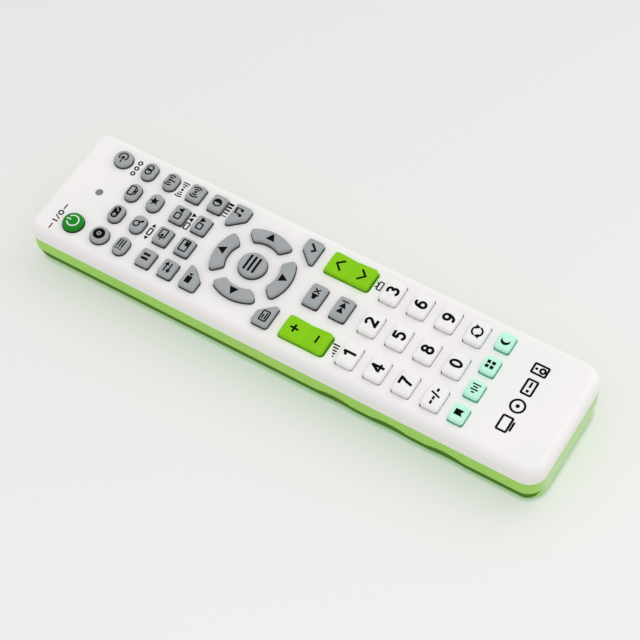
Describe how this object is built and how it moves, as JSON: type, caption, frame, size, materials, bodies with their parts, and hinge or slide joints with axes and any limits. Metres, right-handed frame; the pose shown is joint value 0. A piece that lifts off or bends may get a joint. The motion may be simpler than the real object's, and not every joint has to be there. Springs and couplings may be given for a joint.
{
  "type": "universal remote control",
  "caption": "Slim handheld remote control: white front shell over a green back, raised rubber keys, arrow pad, two rockers, number pad and a sliding battery door.",
  "frame": {"origin": "middle of the back, on the surface that the remote lies on", "axes": "+Z out of the front face, +Y to the infrared end, +X to the right of the keys"},
  "size_m": [0.046, 0.1952, 0.0224],
  "materials": {
    "white_case": "moulded white plastic, satin gloss",
    "green_case": "moulded light green plastic, satin gloss",
    "grey_rubber": "coated grey silicone keys, matte",
    "white_rubber": "white silicone keys, matte",
    "mint_rubber": "pale mint silicone keys, matte",
    "lime_rubber": "lime green silicone rockers, matte",
    "power_rubber": "deep green silicone key, satin",
    "clear_silicone": "plain silicone sheet",
    "smoke_epoxy": "smoke grey lamp body",
    "clear_epoxy": "clear bluish lamp body",
    "black_epoxy": "moulded black package",
    "board_laminate": "brown paper laminate with printed contacts",
    "can_sleeve": "aluminium can in a dark blue sleeve",
    "cell_jacket": "plain printed cell jacket",
    "spring_steel": "nickel plated steel"
  },
  "bodies": {
    "case": {"front_shell": "white_case", "back_shell": "green_case", "circuit_board": "board_laminate", "keypad_sheet": "clear_silicone", "infrared_diode": "clear_epoxy", "indicator_light": "smoke_epoxy", "controller_chip": "black_epoxy", "buffer_capacitor": "can_sleeve", "battery_cells": "cell_jacket", "contact_springs": "spring_steel", "contact_plates": "spring_steel", "case_screws": "spring_steel"},
    "battery_door": {"battery_door": "green_case"},
    "power_key": {"power_key": "power_rubber"},
    "source_key": {"source_key": "grey_rubber"},
    "setup_key": {"setup_key": "grey_rubber"},
    "game_key": {"game_key": "grey_rubber"},
    "computer_key": {"computer_key": "grey_rubber"},
    "stereo_key": {"stereo_key": "grey_rubber"},
    "program_key": {"program_key": "grey_rubber"},
    "zoom_key": {"zoom_key": "grey_rubber"},
    "favourite_key": {"favourite_key": "grey_rubber"},
    "radio_key": {"radio_key": "grey_rubber"},
    "still_key": {"still_key": "grey_rubber"},
    "inset_source_key": {"inset_source_key": "grey_rubber"},
    "inset_up_key": {"inset_up_key": "grey_rubber"},
    "surround_key": {"surround_key": "grey_rubber"},
    "swap_key": {"swap_key": "grey_rubber"},
    "inset_key": {"inset_key": "grey_rubber"},
    "inset_down_key": {"inset_down_key": "grey_rubber"},
    "picture_key": {"picture_key": "grey_rubber"},
    "video_key": {"video_key": "grey_rubber"},
    "sound_key": {"sound_key": "grey_rubber"},
    "up_key": {"up_key": "grey_rubber"},
    "left_key": {"left_key": "grey_rubber"},
    "down_key": {"down_key": "grey_rubber"},
    "right_key": {"right_key": "grey_rubber"},
    "menu_key": {"menu_key": "grey_rubber"},
    "display_key": {"display_key": "grey_rubber"},
    "ok_key": {"ok_key": "grey_rubber"},
    "volume_rocker": {"volume_rocker": "lime_rubber"},
    "channel_rocker": {"channel_rocker": "lime_rubber"},
    "mute_key": {"mute_key": "grey_rubber"},
    "scan_key": {"scan_key": "grey_rubber"},
    "digit_1_key": {"digit_1_key": "white_rubber"},
    "digit_2_key": {"digit_2_key": "white_rubber"},
    "digit_3_key": {"digit_3_key": "white_rubber"},
    "digit_4_key": {"digit_4_key": "white_rubber"},
    "digit_5_key": {"digit_5_key": "white_rubber"},
    "digit_6_key": {"digit_6_key": "white_rubber"},
    "digit_7_key": {"digit_7_key": "white_rubber"},
    "digit_8_key": {"digit_8_key": "white_rubber"},
    "digit_9_key": {"digit_9_key": "white_rubber"},
    "digit_count_key": {"digit_count_key": "white_rubber"},
    "digit_0_key": {"digit_0_key": "white_rubber"},
    "recall_key": {"recall_key": "white_rubber"},
    "preset_key": {"preset_key": "mint_rubber"},
    "audio_key": {"audio_key": "mint_rubber"},
    "mode_key": {"mode_key": "mint_rubber"},
    "sleep_key": {"sleep_key": "mint_rubber"}
  },
  "joints": [
    {"name": "battery_door_slide", "type": "slide", "parent": "case", "child": "battery_door", "axis": [0, -1, 0], "range_m": [0, 0.08]},
    {"name": "power_key_press", "type": "slide", "parent": "case", "child": "power_key", "axis": [0, 0, -1], "range_m": [0, 0.001], "stiffness_N_per_m": 1000},
    {"name": "source_key_press", "type": "slide", "parent": "case", "child": "source_key", "axis": [0, 0, -1], "range_m": [0, 0.001], "stiffness_N_per_m": 1000},
    {"name": "setup_key_press", "type": "slide", "parent": "case", "child": "setup_key", "axis": [0, 0, -1], "range_m": [0, 0.001], "stiffness_N_per_m": 1000},
    {"name": "game_key_press", "type": "slide", "parent": "case", "child": "game_key", "axis": [0, 0, -1], "range_m": [0, 0.001], "stiffness_N_per_m": 1000},
    {"name": "computer_key_press", "type": "slide", "parent": "case", "child": "computer_key", "axis": [0, 0, -1], "range_m": [0, 0.001], "stiffness_N_per_m": 1000},
    {"name": "stereo_key_press", "type": "slide", "parent": "case", "child": "stereo_key", "axis": [0, 0, -1], "range_m": [0, 0.001], "stiffness_N_per_m": 1000},
    {"name": "program_key_press", "type": "slide", "parent": "case", "child": "program_key", "axis": [0, 0, -1], "range_m": [0, 0.001], "stiffness_N_per_m": 1000},
    {"name": "zoom_key_press", "type": "slide", "parent": "case", "child": "zoom_key", "axis": [0, 0, -1], "range_m": [0, 0.001], "stiffness_N_per_m": 1000},
    {"name": "favourite_key_press", "type": "slide", "parent": "case", "child": "favourite_key", "axis": [0, 0, -1], "range_m": [0, 0.001], "stiffness_N_per_m": 1000},
    {"name": "radio_key_press", "type": "slide", "parent": "case", "child": "radio_key", "axis": [0, 0, -1], "range_m": [0, 0.001], "stiffness_N_per_m": 1000},
    {"name": "still_key_press", "type": "slide", "parent": "case", "child": "still_key", "axis": [0, 0, -1], "range_m": [0, 0.001], "stiffness_N_per_m": 1000},
    {"name": "inset_source_key_press", "type": "slide", "parent": "case", "child": "inset_source_key", "axis": [0, 0, -1], "range_m": [0, 0.001], "stiffness_N_per_m": 1000},
    {"name": "inset_up_key_press", "type": "slide", "parent": "case", "child": "inset_up_key", "axis": [0, 0, -1], "range_m": [0, 0.001], "stiffness_N_per_m": 1000},
    {"name": "surround_key_press", "type": "slide", "parent": "case", "child": "surround_key", "axis": [0, 0, -1], "range_m": [0, 0.001], "stiffness_N_per_m": 1000},
    {"name": "swap_key_press", "type": "slide", "parent": "case", "child": "swap_key", "axis": [0, 0, -1], "range_m": [0, 0.001], "stiffness_N_per_m": 1000},
    {"name": "inset_key_press", "type": "slide", "parent": "case", "child": "inset_key", "axis": [0, 0, -1], "range_m": [0, 0.001], "stiffness_N_per_m": 1000},
    {"name": "inset_down_key_press", "type": "slide", "parent": "case", "child": "inset_down_key", "axis": [0, 0, -1], "range_m": [0, 0.001], "stiffness_N_per_m": 1000},
    {"name": "picture_key_press", "type": "slide", "parent": "case", "child": "picture_key", "axis": [0, 0, -1], "range_m": [0, 0.001], "stiffness_N_per_m": 1000},
    {"name": "video_key_press", "type": "slide", "parent": "case", "child": "video_key", "axis": [0, 0, -1], "range_m": [0, 0.001], "stiffness_N_per_m": 1000},
    {"name": "sound_key_press", "type": "slide", "parent": "case", "child": "sound_key", "axis": [0, 0, -1], "range_m": [0, 0.001], "stiffness_N_per_m": 1000},
    {"name": "up_key_press", "type": "slide", "parent": "case", "child": "up_key", "axis": [0, 0, -1], "range_m": [0, 0.001], "stiffness_N_per_m": 1000},
    {"name": "left_key_press", "type": "slide", "parent": "case", "child": "left_key", "axis": [0, 0, -1], "range_m": [0, 0.001], "stiffness_N_per_m": 1000},
    {"name": "down_key_press", "type": "slide", "parent": "case", "child": "down_key", "axis": [0, 0, -1], "range_m": [0, 0.001], "stiffness_N_per_m": 1000},
    {"name": "right_key_press", "type": "slide", "parent": "case", "child": "right_key", "axis": [0, 0, -1], "range_m": [0, 0.001], "stiffness_N_per_m": 1000},
    {"name": "menu_key_press", "type": "slide", "parent": "case", "child": "menu_key", "axis": [0, 0, -1], "range_m": [0, 0.001], "stiffness_N_per_m": 1000},
    {"name": "display_key_press", "type": "slide", "parent": "case", "child": "display_key", "axis": [0, 0, -1], "range_m": [0, 0.001], "stiffness_N_per_m": 1000},
    {"name": "ok_key_press", "type": "slide", "parent": "case", "child": "ok_key", "axis": [0, 0, -1], "range_m": [0, 0.001], "stiffness_N_per_m": 1000},
    {"name": "volume_rocker_tilt", "type": "hinge", "parent": "case", "child": "volume_rocker", "pos_m": [-0.0141, -0.00857, 0.0172], "axis": [1, 0, 0], "range_deg": [-4, 4], "stiffness_Nm_per_rad": 0.08},
    {"name": "channel_rocker_tilt", "type": "hinge", "parent": "case", "child": "channel_rocker", "pos_m": [0.0141, -0.00857, 0.0172], "axis": [1, 0, 0], "range_deg": [-4, 4], "stiffness_Nm_per_rad": 0.08},
    {"name": "mute_key_press", "type": "slide", "parent": "case", "child": "mute_key", "axis": [0, 0, -1], "range_m": [0, 0.001], "stiffness_N_per_m": 1000},
    {"name": "scan_key_press", "type": "slide", "parent": "case", "child": "scan_key", "axis": [0, 0, -1], "range_m": [0, 0.001], "stiffness_N_per_m": 1000},
    {"name": "digit_1_key_press", "type": "slide", "parent": "case", "child": "digit_1_key", "axis": [0, 0, -1], "range_m": [0, 0.001], "stiffness_N_per_m": 1000},
    {"name": "digit_2_key_press", "type": "slide", "parent": "case", "child": "digit_2_key", "axis": [0, 0, -1], "range_m": [0, 0.001], "stiffness_N_per_m": 1000},
    {"name": "digit_3_key_press", "type": "slide", "parent": "case", "child": "digit_3_key", "axis": [0, 0, -1], "range_m": [0, 0.001], "stiffness_N_per_m": 1000},
    {"name": "digit_4_key_press", "type": "slide", "parent": "case", "child": "digit_4_key", "axis": [0, 0, -1], "range_m": [0, 0.001], "stiffness_N_per_m": 1000},
    {"name": "digit_5_key_press", "type": "slide", "parent": "case", "child": "digit_5_key", "axis": [0, 0, -1], "range_m": [0, 0.001], "stiffness_N_per_m": 1000},
    {"name": "digit_6_key_press", "type": "slide", "parent": "case", "child": "digit_6_key", "axis": [0, 0, -1], "range_m": [0, 0.001], "stiffness_N_per_m": 1000},
    {"name": "digit_7_key_press", "type": "slide", "parent": "case", "child": "digit_7_key", "axis": [0, 0, -1], "range_m": [0, 0.001], "stiffness_N_per_m": 1000},
    {"name": "digit_8_key_press", "type": "slide", "parent": "case", "child": "digit_8_key", "axis": [0, 0, -1], "range_m": [0, 0.001], "stiffness_N_per_m": 1000},
    {"name": "digit_9_key_press", "type": "slide", "parent": "case", "child": "digit_9_key", "axis": [0, 0, -1], "range_m": [0, 0.001], "stiffness_N_per_m": 1000},
    {"name": "digit_count_key_press", "type": "slide", "parent": "case", "child": "digit_count_key", "axis": [0, 0, -1], "range_m": [0, 0.001], "stiffness_N_per_m": 1000},
    {"name": "digit_0_key_press", "type": "slide", "parent": "case", "child": "digit_0_key", "axis": [0, 0, -1], "range_m": [0, 0.001], "stiffness_N_per_m": 1000},
    {"name": "recall_key_press", "type": "slide", "parent": "case", "child": "recall_key", "axis": [0, 0, -1], "range_m": [0, 0.001], "stiffness_N_per_m": 1000},
    {"name": "preset_key_press", "type": "slide", "parent": "case", "child": "preset_key", "axis": [0, 0, -1], "range_m": [0, 0.001], "stiffness_N_per_m": 1000},
    {"name": "audio_key_press", "type": "slide", "parent": "case", "child": "audio_key", "axis": [0, 0, -1], "range_m": [0, 0.001], "stiffness_N_per_m": 1000},
    {"name": "mode_key_press", "type": "slide", "parent": "case", "child": "mode_key", "axis": [0, 0, -1], "range_m": [0, 0.001], "stiffness_N_per_m": 1000},
    {"name": "sleep_key_press", "type": "slide", "parent": "case", "child": "sleep_key", "axis": [0, 0, -1], "range_m": [0, 0.001], "stiffness_N_per_m": 1000}
  ]
}
